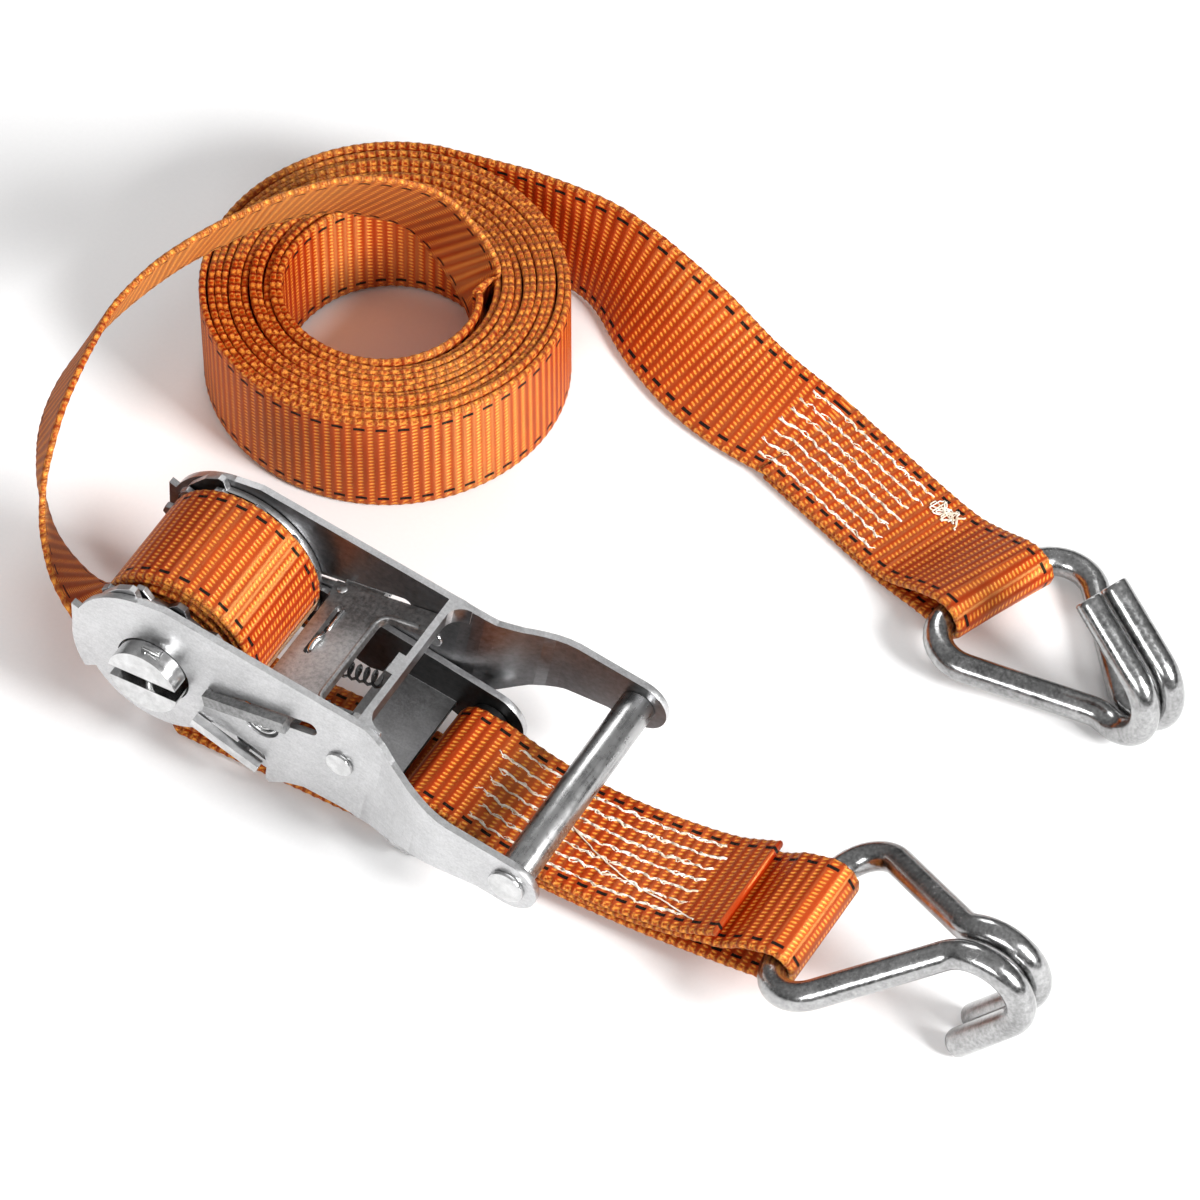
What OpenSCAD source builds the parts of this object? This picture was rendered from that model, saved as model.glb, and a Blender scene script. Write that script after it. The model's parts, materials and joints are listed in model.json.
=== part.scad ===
// Ratchet tie down: a pressed steel ratchet with a short sewn strap and hook, and a
// long strap that runs from the drum through a flat coil to a second hook.
// Everything lies on a table at z = 0. The ratchet's own axes are: origin on the drum
// axis, +X towards the grip, +Y along the drum, +Z out of the closed handle.

/* [Webbing] */
// Width of the webbing
web_w = 35; // [34:0.5:35]
// Thickness of one layer of webbing
web_t = 1.75; // [1.6:0.05:1.8]
// Radius of the loosely wound webbing, about its own middle
roll_r = 22; // [20:0.5:22]

/* [Coil] */
// Radius of the hole in the coil
coil_in_r = 27.7; // [26:0.1:30]
// Outer radius of the coil
coil_out_r = 52; // [48:0.5:52]

/* [Ratchet] */
// Thickness of the pressed steel plates
plate_t = 2; // [1.6:0.1:2]
// Height of the drum axis above the table
drum_h = 34; // [34:0.5:35]
// Slope of the ratchet, grip end down
tilt = 10; // [9:0.5:10]
// Diameter of the split spindle
spindle_d = 21; // [19:0.5:21]
// Radius over the ratchet teeth
wheel_r = 24.8; // [24.4:0.1:26]

/* [Handle] */
// Distance from the drum axis to the grip axis
grip_x = 113; // [108:1:116]
// Diameter of the grip tube
grip_d = 10; // [9:0.5:10]
// How far each side of the handle flares out towards the grip
flare = 10; // [8:0.5:10]

/* [Hooks] */
// Diameter of the hook wire
wire_d = 8; // [7:0.1:8]
// Radius of the hook's throat, at the middle of the wire
throat_r = 12.5; // [11:0.5:13]

/* [Hidden] */
$fn = 64;

// Middle of the whole object's box, seen from above
centre_x = 87.3;
centre_y = 70.3;

// Foot of the drum on the table; the straps, coil and hooks are placed from the same point
drum_x = 0.8;
drum_y = -1.4;

// Layers of the ratchet, outwards from its middle plane
layer_gap = 0.2;
wheel_y = web_w / 2 + 0.7;
wall_y = wheel_y + plate_t + 0.6;
side_y = wall_y + plate_t + layer_gap;
outer_y = side_y + plate_t;
ear_y = outer_y + 0.3;
ear_out_y = ear_y + 2.7;

// Drum
base_disc_r = 22.8;
handle_disc_r = 25.2;
handle_low_r = 21;
roll_x = 1.9;
roll_z = 5.6;
spindle_hole_r = spindle_d / 2 + 0.5;
spindle_slot = 4;
spindle_turn = 12;
spindle_out_y = 30.5;
teeth = 12;
tooth_root_r = 21.4;
tooth_tip_w = 2.6;

// Anchor end of the base
anchor_x = 78.5;
anchor_z = -10;
anchor_end_r = 10;
bolt_r = 3;
bolt_head_r = 5.5;
bolt_head_t = 2.2;
washer_t = 0.6;
bolt_head_y = wall_y + plate_t + washer_t + 0.1;
anchor_hole_r = bolt_r + 0.1;
sleeve_r = 5.5;
anchor_top = [
    drum_x + anchor_x * cos(tilt) + anchor_z * sin(tilt),
    drum_h - anchor_x * sin(tilt) + anchor_z * cos(tilt)
];

// Lock pawl: its plane slopes down towards the anchor
lock_slope = 11.6;
lock_x = 25;
lock_z = -11;
lock_t = 3;

// Drive pawl: its plane slopes up towards the grip
drive_slope = 19;
drive_drop = 2.4;
drive_tip = 27.8;
drive_end = 60;
spring_r = 2.5;
spring_wire = 0.9;

// Handle
bar_x = 58.5;
bar_low_z = 20.5;
handle_top_z = 26.5;
arm_top_z = 21.3;
grip_z = 12.5;
grip_end_r = 8.5;
flare_from_x = 60;
flare_to_x = 94;
arm_in_y = side_y + flare;

// Coil
coil_x = -15.8;
coil_y = 120.1;

// Hooks: crossbar centre, heading and pitch of the legs, and which way the throat faces
crossbar_half = 34;
corner_r = 11;
neck_s = 48.5;
neck_n = wire_d / 2 + 0.5;
neck_r = 10;
straight_s = 51;
throat_turn = 152;
tip_l = 24;
hook_short_at = [183.5, -3.5, 19];
hook_short_yaw = 1;
hook_short_pitch = 25;
hook_short_roll = 0;
hook_long_at = [170, 126.2, 8.1];
hook_long_yaw = -20.5;
hook_long_pitch = -3.5;
hook_long_roll = -5;

// Sewn loops round the hook wires
long_loop_r = wire_d / 2 + 0.8;
short_loop_r = wire_d / 2 + 1.5;
sewn_t = 2 * web_t + 0.1;
long_sewn_l = 75;

// Lead strap, from the coil's inner end to the drum: centre line and width direction
lead_route = [
    [6, 130, 17.5], [2, 141, 20], [-8, 146, 29], [-21, 144, 40], [-35, 131, 50],
    [-46, 115, 54], [-54, 101, 54], [-60, 87, 54], [-65, 74, 52], [-68, 60, 49.5],
    [-68, 46, 47], [-66, 33, 44.5], [-63, 22, 40.5], [-59.5, 13, 34], [-54, 6, 26.5],
    [-46, 1, 20.5], [-37, -2, 16.5], [-28, -2, 14], [-19.5, -1.4, 12]
];
lead_width = [
    [0, 0, 1], [0.3, -0.1, 0.95], [0.46, -0.2, 0.86], [0.46, -0.22, 0.86], [0.46, -0.23, 0.85],
    [0.48, -0.2, 0.85], [0.47, -0.18, 0.86], [0.44, -0.21, 0.87], [0.4, -0.28, 0.87],
    [0.38, -0.45, 0.8], [0.46, -0.46, 0.76], [0.49, -0.44, 0.75], [0.47, -0.45, 0.75],
    [0.42, -0.5, 0.76], [0.33, -0.55, 0.77], [0.27, -0.65, 0.7], [0.22, -0.76, 0.61],
    [0.12, -0.92, 0.37], [0, -1, 0]
];

// Long strap, from the coil's back to its sewn end: centre line and width direction
long_route = [
    [-29, 170.5, 17.5], [-4, 174.5, 17.5], [24, 172.5, 17.5], [50, 163.5, 12.6], [74, 156.5, 6.3],
    [98.7, 153, 1.9]
];
long_width = [
    [0, 0, 1], [0, 0.1, 1], [0, 0.3, 0.95], [0.1, 0.72, 0.69], [0.22, 0.92, 0.3], [0.35, 0.94, 0]
];

// Short strap: centre line of its two sewn layers, seen from the side
short_end = [hook_short_at[0], hook_short_at[2]];
short_sag = 5;
short_yaw = atan2(hook_short_at[1] - drum_y, hook_short_at[0] - anchor_top[0]);

// Wear flap under the ratchet
flap_x0 = 3;
flap_x1 = 66;
flap_y = -2.8;
flap_curl_d = 5;

// ---------------------------------------------------------------- helpers

function unit(v) = v / norm(v);

// Catmull-Rom point between p1 and p2
function spline_point(p0, p1, p2, p3, t) =
    0.5 * (2 * p1 + (p2 - p0) * t + (2 * p0 - 5 * p1 + 4 * p2 - p3) * t * t
    + (3 * p1 - p0 - 3 * p2 + p3) * t * t * t);

// A smooth row of points through the given ones, "steps" to each stretch
function smooth(points, steps) = [
    for (i = [0 : len(points) - 2], k = [0 : steps - 1])
        spline_point(points[max(i - 1, 0)], points[i], points[i + 1],
            points[min(i + 2, len(points) - 1)], k / steps),
    points[len(points) - 1]
];

function tangents(path) = [
    for (i = [0 : len(path) - 1])
        unit(path[min(i + 1, len(path) - 1)] - path[max(i - 1, 0)])
];

// Joins rings of equal size into a closed tube
module skin(rings) {
    sides = len(rings[0]);
    points = [for (ring = rings, p = ring) p];
    walls = [
        for (i = [0 : len(rings) - 2], k = [0 : sides - 1])
            let (a = i * sides + k, b = i * sides + (k + 1) % sides)
                each [[a, a + sides, b], [b, a + sides, b + sides]]
    ];
    ends = [
        [for (k = [0 : sides - 1]) k],
        [for (k = [sides - 1 : -1 : 0]) (len(rings) - 1) * sides + k]
    ];
    polyhedron(points, concat(walls, ends));
}

// A flat band along a path: 4 corners to each ring
module ribbon(path, widths, w = web_w, t = web_t) {
    dirs = tangents(path);
    skin([
        for (i = [0 : len(path) - 1])
            let (across = unit(widths[i] - (widths[i] * dirs[i]) * dirs[i]),
                face = cross(dirs[i], across))
                [for (c = [[-1, -1], [1, -1], [1, 1], [-1, 1]])
                    path[i] + across * c[0] * w / 2 + face * c[1] * t / 2]
    ]);
}

// A round wire along a path, its rings carried along without twisting
module wire(path, d, side, sides = 12) {
    dirs = tangents(path);
    carried = [
        for (i = 0, u = unit(side - (side * dirs[0]) * dirs[0]); i < len(path);
            i = i + 1, u = i < len(path) ? unit(u - (u * dirs[i]) * dirs[i]) : u) u
    ];
    skin([
        for (i = [0 : len(path) - 1])
            [for (k = [0 : sides - 1])
                path[i] + d / 2 * (carried[i] * cos(360 * k / sides)
                + cross(dirs[i], carried[i]) * sin(360 * k / sides))]
    ]);
}

// A coil spring along +X from the origin
module coil_spring(length, turns) {
    steps = 10;
    path = [
        for (i = [0 : turns * steps])
            [length * i / (turns * steps),
                (spring_r - spring_wire / 2) * cos(360 * i / steps),
                (spring_r - spring_wire / 2) * sin(360 * i / steps)]
    ];
    wire(path, spring_wire, [1, 0, 0], 6);
}

// Moves the children from the drum's foot on the table to the object's own origin
module placed() {
    translate([-centre_x, -centre_y, 0])
        children();
}

module in_ratchet() {
    placed()
        translate([drum_x, drum_y, drum_h])
            rotate([0, tilt, 0])
                children();
}

module both_sides() {
    children();
    mirror([0, 1, 0])
        children();
}

// Stands an outline drawn in x and z up as a plate from y to y + t
module plate(y, t) {
    translate([0, y + t, 0])
        rotate([90, 0, 0])
            linear_extrude(t)
                children();
}

// A straight slot with round ends between two points
module slot_outline(a, b, w) {
    angle = atan2(b[1] - a[1], b[0] - a[0]);
    translate(a)
        circle(d = w);
    translate(b)
        circle(d = w);
    translate(a)
        rotate(angle)
            translate([0, -w / 2])
                square([norm(b - a), w]);
}

// Pin along Y, centred on the middle plane
module cross_pin(x, z, r, half_l) {
    translate([x, 0, z])
        rotate([90, 0, 0])
            cylinder(r = r, h = 2 * half_l, center = true);
}

// ---------------------------------------------------------------- base

module base_wall_outline() {
    difference() {
        union() {
            circle(r = base_disc_r);
            // Lip over the wheel at the back of the disc
            polygon([
                [-22.6, 2], [-22, 8], [-19.3, 15.1], [-15.3, 21.4], [-11.6, 24.3],
                [-10, 24.3], [-9.3, 22.9], [-7.3, 19.1]
            ]);
            polygon([
                [8, 0], [24.2, 2.5], [60, 1], [anchor_x, 0], [anchor_x, -20], [66, -16],
                [50, -15.5], [42, -18.5], [30, -17.5], [13, -18.5], [0, -20]
            ]);
            translate([anchor_x, anchor_z])
                circle(r = anchor_end_r);
        }
        circle(r = spindle_hole_r);
        translate([anchor_x, anchor_z])
            circle(r = anchor_hole_r);
        translate([lock_x, lock_z])
            rotate(-lock_slope)
                slot_outline([3, 0], [11.2, 0], lock_t + 0.5);
    }
}

module base_frame() {
    web_x0 = 47;
    web_x1 = 68;
    web_z = -13.5;
    color("gainsboro")
        in_ratchet() {
            both_sides()
                plate(wall_y, plate_t)
                    base_wall_outline();
            translate([web_x0, -wall_y - 0.5, web_z])
                cube([web_x1 - web_x0, 2 * wall_y + 1, plate_t]);
            // Tab that the lock pawl's spring pushes against
            translate([web_x0, -4, web_z - 4])
                cube([plate_t, 8, 5]);
        }
}

module in_lock_plane() {
    in_ratchet()
        translate([lock_x, 0, lock_z])
            rotate([0, lock_slope, 0])
                children();
}

module lock_bar(p0, p1, y0, y1, t = lock_t) {
    translate([p0, y0, -t / 2])
        cube([p1 - p0, y1 - y0, t]);
}

module lock_pawl() {
    nose_p = -3.6;
    back_p = 12.4;
    color("silver")
        in_lock_plane() {
            lock_bar(4.2, back_p, -wall_y + 0.4, wall_y - 0.4, 2.4);
            both_sides() {
                lock_bar(nose_p, back_p, wheel_y - 0.2, wall_y - 0.4, 2.4);
                lock_bar(2.4, 6.1, wall_y - 0.5, ear_y + 0.1);
                lock_bar(-10.6, 10.8, ear_y, ear_out_y);
            }
        }
}

module lock_pawl_spring() {
    color("dimgray")
        in_lock_plane()
            translate([12.95, 0, 0])
                coil_spring(8.9, 5);
}

// ---------------------------------------------------------------- handle

function flare_y(x) =
    x < flare_from_x ? 0
    : x > flare_to_x ? flare
    : flare * (1 - cos(180 * (x - flare_from_x) / (flare_to_x - flare_from_x))) / 2;

// Plan of one flared side, plate_t thick
module flare_band() {
    xs = [-30, each [flare_from_x : 3 : flare_to_x + 1], grip_x + 15];
    polygon(concat(
        [for (x = xs) [x, side_y + flare_y(x)]],
        [for (i = [len(xs) - 1 : -1 : 0]) [xs[i], outer_y + flare_y(xs[i])]]
    ));
}

module handle_outline() {
    difference() {
        union() {
            // Cam side of the disc, down to its step
            difference() {
                circle(r = handle_disc_r);
                polygon([[-12, -9], [-30, -25], [-30, -40], [40, -40], [40, -8], [0, -8]]);
            }
            // Stop horn at the back of the disc
            polygon([[-23, -6], [-25.2, -1], [-26.4, 7.8], [-22.5, 6.8], [-18, 0]]);
            circle(r = handle_low_r);
            // Arm from the disc to the grip
            polygon([
                [-8, 23.9], [0, handle_top_z], [62, handle_top_z], [67, 24.8], [72, 22.4],
                [78, arm_top_z], [grip_x, grip_z + grip_end_r], [grip_x, grip_z - grip_end_r],
                [105, 4.2], [92, 1.5], [83, -2], [74, -8], [65, -12], [48.4, -13.2],
                [43, -16], [38.5, -20], [37.2, -19], [37, -14], [36, -9.5], [29, -8], [19, -8]
            ]);
            translate([grip_x, grip_z])
                circle(r = grip_end_r);
        }
        circle(r = spindle_hole_r);
        slot_outline([18.5, 3.8], [46.5, 13.4], 4.8);
        // Half-round window under the slot
        translate([33, 3.8])
            circle(r = 5.4);
        translate([57, 6.4])
            circle(r = 2.5);
        translate([grip_x, grip_z])
            circle(r = 3.05);
    }
}

module handle_frame() {
    fillet_r = 5;
    color("lightgray")
        in_ratchet() {
            both_sides()
                intersection() {
                    plate(side_y, flare + plate_t)
                        handle_outline();
                    translate([0, 0, -40])
                        linear_extrude(90)
                            flare_band();
                }
            // Crossbar with rounded inner corners on the grip side
            translate([0, 0, bar_low_z])
                linear_extrude(handle_top_z - bar_low_z)
                    difference() {
                        translate([bar_x, -side_y - 0.5])
                            square([plate_t + fillet_r, 2 * side_y + 1]);
                        translate([bar_x + plate_t + fillet_r, 0])
                            square([2 * fillet_r, 2 * (side_y - fillet_r)], center = true);
                        for (s = [-1, 1])
                            translate([bar_x + plate_t + fillet_r, s * (side_y - fillet_r)])
                                circle(r = fillet_r);
                    }
            // Tongue that the drive pawl's spring pushes against
            translate([bar_x - 3, -3.5, bar_low_z])
                cube([3.5, 7, plate_t]);
            translate([bar_x - 3, -3.5, 9])
                cube([plate_t, 7, bar_low_z - 9 + 0.5]);
        }
}

module in_drive_plane() {
    in_ratchet()
        rotate([0, -drive_slope, 0])
            translate([0, 0, -drive_drop])
                children();
}

module drive_pawl_outline() {
    half_w = side_y - 0.2;
    difference() {
        union() {
            translate([drive_tip, -half_w])
                square([drive_end - drive_tip, 2 * half_w]);
            // Feet of the ears, through the handle's slots
            translate([30, -ear_y - 0.5])
                square([12.3, 2 * ear_y + 1]);
        }
        // Middle of the tip, set back from the webbing
        translate([drive_tip - 1, -wheel_y + 0.4])
            square([1.8, 2 * wheel_y - 0.8]);
        // Window, open towards the grip
        hull() {
            for (s = [-1, 1])
                translate([49, s * 13])
                    circle(r = 3, $fn = 32);
            translate([drive_end, -16])
                square([1, 32]);
        }
        // Slot left by the lanced spring tab
        rotate(90)
            slot_outline([-2, -33.8], [14, -33.8], 2.4);
    }
}

module drive_pawl() {
    ear_p0 = 17;
    ear_p1 = 42.3;
    color("darkgray")
        in_drive_plane() {
            translate([0, 0, -1])
                linear_extrude(2)
                    drive_pawl_outline();
            both_sides()
                translate([ear_p0, side_y - 0.2 + plate_t + 0.5, -2])
                    cube([ear_p1 - ear_p0, 2.6, 4]);
            // Lanced tab, bent down
            translate([35, -3, -5.5])
                cube([1.6, 6, 5]);
        }
}

module drive_pawl_spring() {
    color("dimgray")
        in_drive_plane()
            translate([37.15, 0, -4.2])
                coil_spring(17.3, 7);
}

module grip_tube() {
    color("silver")
        in_ratchet()
            difference() {
                cross_pin(grip_x, grip_z, grip_d / 2, arm_in_y - 0.1);
                cross_pin(grip_x, grip_z, 3.1, arm_in_y + 1);
            }
}

module grip_rivet() {
    head_r = 5.2;
    head_t = 1.4;
    color("silver")
        in_ratchet() {
            cross_pin(grip_x, grip_z, 3, arm_in_y + plate_t + head_t);
            both_sides()
                plate(arm_in_y + plate_t, head_t)
                    translate([grip_x, grip_z])
                        circle(r = head_r);
        }
}

module side_rivets() {
    color("silver")
        in_ratchet()
            both_sides() {
                plate(side_y - 0.6, plate_t + 1.8)
                    translate([57, 6.4])
                        circle(r = 2.45);
                plate(outer_y, 1.2)
                    translate([57, 6.4])
                        circle(r = 4);
            }
}

// ---------------------------------------------------------------- drum

// One hooked tooth: steep on one side, sloping on the other
module wheel_outline() {
    pitch = 360 / teeth;
    difference() {
        union() {
            circle(r = tooth_root_r);
            for (i = [0 : teeth - 1])
                rotate(i * pitch - 10)
                    polygon([
                        [tooth_root_r - 2, -2.5],
                        [wheel_r * cos(7), wheel_r * sin(7) - tooth_tip_w],
                        [wheel_r * cos(7), wheel_r * sin(7)],
                        [tooth_root_r * cos(14), tooth_root_r * sin(14)],
                        [tooth_root_r - 4, 3]
                    ]);
        }
        circle(r = spindle_d / 2 + 0.05);
    }
}

module ratchet_wheel(y) {
    color("darkgray")
        in_ratchet()
            plate(y, plate_t)
                wheel_outline();
}

module ratchet_wheel_near() {
    ratchet_wheel(-wheel_y - plate_t);
}

module ratchet_wheel_far() {
    ratchet_wheel(wheel_y);
}

// One half of the split spindle, the flat side facing the strap's slot
module spindle_half(side) {
    color("silver")
        in_ratchet()
            rotate([0, -spindle_turn, 0])
                difference() {
                    cross_pin(0, 0, spindle_d / 2, spindle_out_y);
                    translate([-spindle_d, -spindle_out_y - 1, side > 0 ? -spindle_d : -spindle_slot / 2])
                        cube([2 * spindle_d, 2 * spindle_out_y + 2, spindle_d + spindle_slot / 2]);
                    for (s = [-1, 1])
                        translate([0, s * (outer_y + 2.4), 0])
                            cylinder(r = 1.05, h = 3 * spindle_d, center = true);
                }
}

module spindle_upper() {
    spindle_half(1);
}

module spindle_lower() {
    spindle_half(-1);
}

module split_pins() {
    color("silver")
        in_ratchet()
            rotate([0, -spindle_turn, 0])
                for (s = [-1, 1])
                    translate([0, s * (outer_y + 2.4), 0]) {
                        cylinder(r = 1, h = spindle_d + 3, center = true);
                        translate([0, 0, spindle_d / 2 + 1])
                            rotate([0, 90, 0])
                                cylinder(r = 1, h = 5);
                    }
}

module webbing_roll() {
    color("darkorange")
        in_ratchet() {
            rotate([90, 0, 0])
                linear_extrude(web_w, center = true)
                    difference() {
                        translate([roll_x, roll_z])
                            circle(r = roll_r);
                        circle(r = spindle_d / 2 + 0.2);
                    }
            rotate([0, -spindle_turn, 0])
                cube([spindle_d + 2, web_w, 2 * web_t], center = true);
        }
}

// ---------------------------------------------------------------- anchor

module anchor_bolt() {
    color("silver")
        in_ratchet() {
            cross_pin(anchor_x, anchor_z, bolt_r, bolt_head_y + bolt_head_t);
            plate(bolt_head_y, bolt_head_t)
                translate([anchor_x, anchor_z])
                    circle(r = bolt_head_r);
        }
}

module anchor_nut() {
    color("silver")
        in_ratchet()
            plate(-bolt_head_y - bolt_head_t, bolt_head_t)
                translate([anchor_x, anchor_z])
                    difference() {
                        circle(r = bolt_head_r, $fn = 6);
                        circle(r = bolt_r + 0.05);
                    }
}

module anchor_washers() {
    color("gainsboro")
        in_ratchet()
            both_sides()
                plate(wall_y + plate_t + 0.05, washer_t)
                    translate([anchor_x, anchor_z])
                        difference() {
                            circle(r = 6.5);
                            circle(r = anchor_hole_r);
                        }
}

module anchor_sleeve() {
    color("dimgray")
        in_ratchet()
            difference() {
                cross_pin(anchor_x, anchor_z, sleeve_r, wall_y - 0.2);
                cross_pin(anchor_x, anchor_z, anchor_hole_r, wall_y + 1);
            }
}

// ---------------------------------------------------------------- webbing

// The ring filled by the coil, made larger by "gap" all round
module coil_ring(gap = 0) {
    translate([coil_x, coil_y, -gap])
        rotate_extrude($fn = 96)
            translate([coil_in_r - gap, 0])
                square([coil_out_r - coil_in_r + 2 * gap, web_w + 2 * gap]);
}

module strap_lead() {
    color("darkorange")
        placed()
            difference() {
                ribbon(smooth(lead_route, 4), smooth(lead_width, 4));
                coil_ring(0.1);
            }
}

module webbing_coil() {
    color("orangered")
        placed()
            coil_ring();
}

// Side view of a sewn loop round a wire at the origin, closing towards -X
module loop_outline(in_r, reach) {
    difference() {
        hull() {
            circle(r = in_r + web_t, $fn = 48);
            translate([-reach, -sewn_t / 2])
                square([0.1, sewn_t]);
        }
        circle(r = in_r, $fn = 48);
    }
}

module strap_long() {
    loop_reach = 16;
    color("darkorange")
        placed() {
            difference() {
                ribbon(smooth(long_route, 6), smooth(long_width, 6));
                coil_ring(0.1);
            }
            translate([hook_long_at[0], hook_long_at[1], 0])
                rotate([0, 0, hook_long_yaw]) {
                    translate([0, 0, hook_long_at[2]])
                        rotate([hook_long_roll, 0, 0])
                            plate(-web_w / 2, web_w)
                                loop_outline(long_loop_r, loop_reach);
                    plate(-web_w / 2, web_w)
                        polygon([
                            [-long_sewn_l, 0], [-loop_reach - 2, 0], [-loop_reach + 1, hook_long_at[2] - sewn_t / 2],
                            [-loop_reach + 1, hook_long_at[2] + sewn_t / 2], [-loop_reach - 6, sewn_t],
                            [-long_sewn_l, sewn_t]
                        ]);
                }
        }
}

// Frame of the short strap: origin at the anchor's axis, +X towards its hook
module in_short() {
    placed()
        translate([anchor_top[0], drum_y, anchor_top[1]])
            rotate([0, 0, short_yaw])
                children();
}

module strap_short() {
    run = short_end[0] - anchor_top[0];
    rise = short_end[1] - anchor_top[1];
    middle = [
        [14, -1], [run * 0.35, rise * 0.3 - short_sag],
        [run * 0.65, rise * 0.55 - short_sag], [run - 14, rise - 2]
    ];
    color("darkorange")
        in_short() {
            plate(-web_w / 2, web_w)
                rotate(180)
                    loop_outline(sleeve_r + 0.7, 15);
            plate(-web_w / 2, web_w)
                polygon(concat(
                    [for (p = middle) p + [0, sewn_t / 2]],
                    [for (i = [3 : -1 : 0]) middle[i] - [0, sewn_t / 2]]
                ));
            translate([run, 0, rise])
                plate(-web_w / 2, web_w)
                    loop_outline(short_loop_r, 15);
        }
}

module wear_flap() {
    color("darkorange")
        placed()
            translate([0, flap_y, 0])
                plate(-web_w / 2, web_w) {
                    translate([flap_x0, 0])
                        square([flap_x1 - flap_x0, web_t]);
                    translate([flap_x0, flap_curl_d / 2])
                        difference() {
                            circle(r = flap_curl_d / 2);
                            circle(r = flap_curl_d / 2 - web_t);
                            translate([0, -flap_curl_d])
                                square([flap_curl_d, 2 * flap_curl_d]);
                        }
                }
}

// Raised lines of thread
module thread_rows(length, count, pitch, z) {
    thread_t = 0.5;
    for (i = [0 : count - 1])
        translate([0, (i - (count - 1) / 2) * pitch - 0.4, z])
            cube([length, 0.8, thread_t]);
}

module stitching_long() {
    color("white")
        placed()
            translate([hook_long_at[0], hook_long_at[1], 0])
                rotate([0, 0, hook_long_yaw])
                    translate([-long_sewn_l + 1, 0, 0])
                        thread_rows(48, 7, 4.2, sewn_t);
}

module stitching_short() {
    color("white")
        in_short()
            translate([32, 0, 0])
                rotate([0, -4, 0])
                    thread_rows(44, 7, 4.2, sewn_t / 2 - 0.6);
}

// ---------------------------------------------------------------- hooks

// Points of a round corner at b between the lines to a and c
function corner(a, b, c, r, steps = 5) =
    let (u = unit(a - b), v = unit(c - b), half = acos(u * v) / 2,
        centre = b + unit(u + v) * r / sin(half),
        p = b + u * r / tan(half) - centre,
        q = b + v * r / tan(half) - centre,
        turn = acos(unit(p) * unit(q)))
        [for (k = [0 : steps]) centre + (sin((1 - k / steps) * turn) * p + sin(k / steps * turn) * q) / sin(turn)];

// Half of a hook, from the middle of its crossbar to its tip. X runs along the legs,
// Y across them and Z towards the throat.
function half_hook(s) =
    let (bar = [0, 0, 0], c1 = [0, s * crossbar_half, 0], c2 = [neck_s, s * neck_n, 0],
        c3 = [straight_s + 6, s * neck_n, 0], steps = 12,
        leaving = [straight_s + throat_r * sin(throat_turn), s * neck_n, throat_r * (1 - cos(throat_turn))])
        concat(
            corner(bar, c1, c2, corner_r),
            corner(c1, c2, c3, neck_r, 3),
            [for (k = [1 : steps])
                [straight_s + throat_r * sin(k / steps * throat_turn), s * neck_n,
                    throat_r * (1 - cos(k / steps * throat_turn))]],
            [leaving + tip_l / 2 * [cos(throat_turn), 0, sin(throat_turn)],
                leaving + tip_l * [cos(throat_turn), 0, sin(throat_turn)]]
        );

module hook(at, yaw, pitch, roll, throat_down) {
    near = half_hook(-1);
    far = half_hook(1);
    path = concat([for (i = [len(near) - 1 : -1 : 0]) near[i]], far);
    color("silver")
        placed()
            translate(at)
                rotate([roll, -pitch, yaw])
                    mirror([0, 0, throat_down ? 1 : 0])
                        wire(path, wire_d, [0, 1, 0]);
}

module hook_short() {
    hook(hook_short_at, hook_short_yaw, hook_short_pitch, hook_short_roll, true);
}

module hook_long() {
    hook(hook_long_at, hook_long_yaw, hook_long_pitch, hook_long_roll, false);
}

base_frame();
lock_pawl();
lock_pawl_spring();
handle_frame();
drive_pawl();
drive_pawl_spring();
grip_tube();
grip_rivet();
side_rivets();
ratchet_wheel_near();
ratchet_wheel_far();
spindle_upper();
spindle_lower();
split_pins();
webbing_roll();
anchor_bolt();
anchor_nut();
anchor_sleeve();
anchor_washers();
strap_lead();
webbing_coil();
strap_long();
strap_short();
wear_flap();
stitching_short();
stitching_long();
hook_short();
hook_long();
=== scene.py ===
"""Ratchet tie down: the visible model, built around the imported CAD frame."""
import json
import math

import bmesh
import bpy
import numpy as np
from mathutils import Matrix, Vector

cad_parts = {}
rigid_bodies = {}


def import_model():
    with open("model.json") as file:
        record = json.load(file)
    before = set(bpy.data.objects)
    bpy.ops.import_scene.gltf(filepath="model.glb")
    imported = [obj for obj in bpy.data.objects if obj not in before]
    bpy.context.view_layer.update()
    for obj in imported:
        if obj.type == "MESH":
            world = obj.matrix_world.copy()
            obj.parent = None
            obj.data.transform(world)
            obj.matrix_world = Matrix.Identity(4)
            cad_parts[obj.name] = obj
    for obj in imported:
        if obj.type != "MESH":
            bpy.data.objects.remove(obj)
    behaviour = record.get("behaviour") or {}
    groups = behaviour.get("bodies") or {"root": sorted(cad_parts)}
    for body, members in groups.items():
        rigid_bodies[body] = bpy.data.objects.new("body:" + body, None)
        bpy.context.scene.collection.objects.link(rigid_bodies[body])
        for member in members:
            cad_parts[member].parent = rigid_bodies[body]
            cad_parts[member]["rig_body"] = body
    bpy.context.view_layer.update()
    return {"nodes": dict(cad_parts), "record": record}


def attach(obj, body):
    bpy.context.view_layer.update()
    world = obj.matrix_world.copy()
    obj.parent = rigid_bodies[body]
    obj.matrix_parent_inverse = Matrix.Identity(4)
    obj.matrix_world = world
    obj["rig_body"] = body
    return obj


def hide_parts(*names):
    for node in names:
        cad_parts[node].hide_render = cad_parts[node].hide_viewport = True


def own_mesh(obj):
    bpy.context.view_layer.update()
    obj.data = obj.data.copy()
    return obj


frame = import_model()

SLOT_OF = {row["node"]: row["material_slot"] for row in frame["record"]["subparts"]}

# Positions and routes are in millimetres from the drum's foot on the table, as in the CAD.
ORIGIN = np.array([87.3, 70.3, 0.0])

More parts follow.
